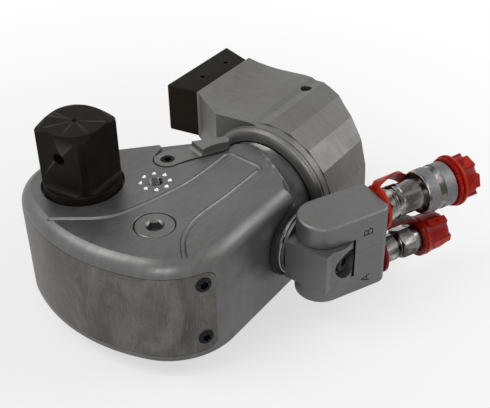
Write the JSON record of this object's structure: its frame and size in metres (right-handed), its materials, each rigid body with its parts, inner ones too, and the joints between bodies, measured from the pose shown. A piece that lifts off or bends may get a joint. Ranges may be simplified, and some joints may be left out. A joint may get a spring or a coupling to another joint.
{
  "type": "hydraulic torque wrench",
  "caption": "Square drive hydraulic torque wrench with a side swivel, capped hose couplers, a pawl release lever and a splined reaction arm with a bolted pad.",
  "frame": {"origin": "middle of the square drive on the flat top face of the housing", "axes": "+X runs along the hydraulic cylinder to the reaction arm, +Y to the reaction pad, +Z out along the square drive"},
  "size_m": [0.2384, 0.2401, 0.1336],
  "materials": {
    "housing_alloy": "satin, machined top and blasted sides",
    "shroud_steel": "worn, heat tinted",
    "arm_alloy": "satin, machined facets",
    "black_steel": "black oxide",
    "tool_steel": "ground",
    "bright_steel": "machined and plated",
    "plated_steel": "polished plating",
    "bearing_bronze": "turned",
    "seal_rubber": "matte",
    "red_rubber": "soft gloss"
  },
  "bodies": {
    "housing": {"housing": "housing_alloy", "nose_shroud": "shroud_steel", "shroud_screws": "black_steel", "drive_bush_upper": "bearing_bronze", "drive_bush_lower": "bearing_bronze", "access_plug": "bright_steel", "cylinder_end_cap": "tool_steel", "end_cap_seal": "seal_rubber", "rod_gland": "bearing_bronze", "rod_seal": "seal_rubber", "swivel_post": "tool_steel", "swivel_ring": "black_steel", "swivel_disc": "bright_steel", "post_bolt": "black_steel"},
    "piston": {"piston": "tool_steel", "piston_seal": "seal_rubber", "piston_rod": "bright_steel"},
    "drive_lever": {"drive_plate_upper": "tool_steel", "drive_plate_lower": "tool_steel", "rod_pin": "tool_steel", "drive_pawl_pin": "tool_steel"},
    "drive_pawl": {"drive_pawl": "tool_steel"},
    "drive": {"ratchet": "tool_steel", "square_drive": "black_steel", "drive_retainer": "bright_steel"},
    "drive_button": {"retainer_button": "black_steel"},
    "pawl_release": {"holding_pawl": "tool_steel", "pawl_shaft": "tool_steel", "release_lever": "bright_steel", "lever_screw": "bright_steel"},
    "arm": {"reaction_arm": "arm_alloy", "reaction_pad": "black_steel", "pad_pins": "tool_steel", "arm_lock_screw": "black_steel"},
    "swivel": {"swivel_block": "bright_steel"},
    "yoke": {"yoke_upper": "bright_steel", "yoke_lower": "bright_steel", "yoke_screws": "black_steel", "coupler_b_body": "plated_steel", "coupler_a_adapter": "plated_steel", "coupler_a_body": "plated_steel", "strap_b": "red_rubber", "strap_a": "red_rubber"},
    "sleeve": {"coupler_b_sleeve": "plated_steel"},
    "poppet": {"coupler_b_poppet": "bearing_bronze"},
    "cap_b": {"dust_cap_b": "red_rubber"},
    "cap_a": {"dust_cap_a": "red_rubber"}
  },
  "joints": [
    {"name": "piston_stroke", "type": "slide", "parent": "housing", "child": "piston", "axis": [-1, 0, 0], "range_m": [0, 0.0306]},
    {"name": "lever_swing", "type": "hinge", "parent": "housing", "child": "drive_lever", "pos_m": [0, 0, -0.038], "axis": [0, 0, -1], "range_deg": [0, 26]},
    {"name": "drive_pawl_lift", "type": "hinge", "parent": "drive_lever", "child": "drive_pawl", "pos_m": [0.02803, -0.04228, -0.038], "axis": [0, 0, 1], "range_deg": [0, 8], "stiffness_Nm_per_rad": 0.4, "springref_deg": -22.92},
    {"name": "drive_spin", "type": "hinge", "parent": "drive_lever", "child": "drive", "pos_m": [0, 0, 0], "axis": [0, 0, 1], "continuous": true},
    {"name": "drive_button_press", "type": "slide", "parent": "drive", "child": "drive_button", "axis": [0, 0, 1], "range_m": [0, 0.002], "stiffness_N_per_m": 600, "springref_m": -0.004},
    {"name": "release_lever_turn", "type": "hinge", "parent": "housing", "child": "pawl_release", "pos_m": [0.0514, -0.0277, 0], "axis": [0, 0, 1], "range_deg": [0, 9], "stiffness_Nm_per_rad": 1, "springref_deg": -28.65},
    {"name": "arm_slide", "type": "slide", "parent": "housing", "child": "arm", "axis": [1, 0, 0], "range_m": [0, 0.03]},
    {"name": "swivel_turn", "type": "hinge", "parent": "housing", "child": "swivel", "pos_m": [0.068, -0.138, -0.038], "axis": [0, 1, 0], "continuous": true},
    {"name": "yoke_turn", "type": "hinge", "parent": "swivel", "child": "yoke", "pos_m": [0.068, -0.1384, -0.038], "axis": [0, 0, 1], "range_deg": [-55, 19]},
    {"name": "sleeve_pull", "type": "slide", "parent": "yoke", "child": "sleeve", "axis": [-0.91, 0.4147, 0], "range_m": [0, 0.005], "stiffness_N_per_m": 900, "springref_m": -0.008},
    {"name": "poppet_push", "type": "slide", "parent": "yoke", "child": "poppet", "axis": [-0.91, 0.4147, 0], "range_m": [0, 0.002], "stiffness_N_per_m": 500, "springref_m": -0.004},
    {"name": "cap_b_turn", "type": "hinge", "parent": "yoke", "child": "cap_b", "pos_m": [0.16628, -0.18319, -0.0195], "axis": [0.91, -0.4147, 0], "continuous": true},
    {"name": "cap_a_turn", "type": "hinge", "parent": "yoke", "child": "cap_a", "pos_m": [0.15263, -0.17697, -0.057], "axis": [0.91, -0.4147, 0], "continuous": true}
  ],
  "couplings": [
    {"joint": "lever_swing", "follows": "piston_stroke", "rad_per_m": 14.706}
  ]
}
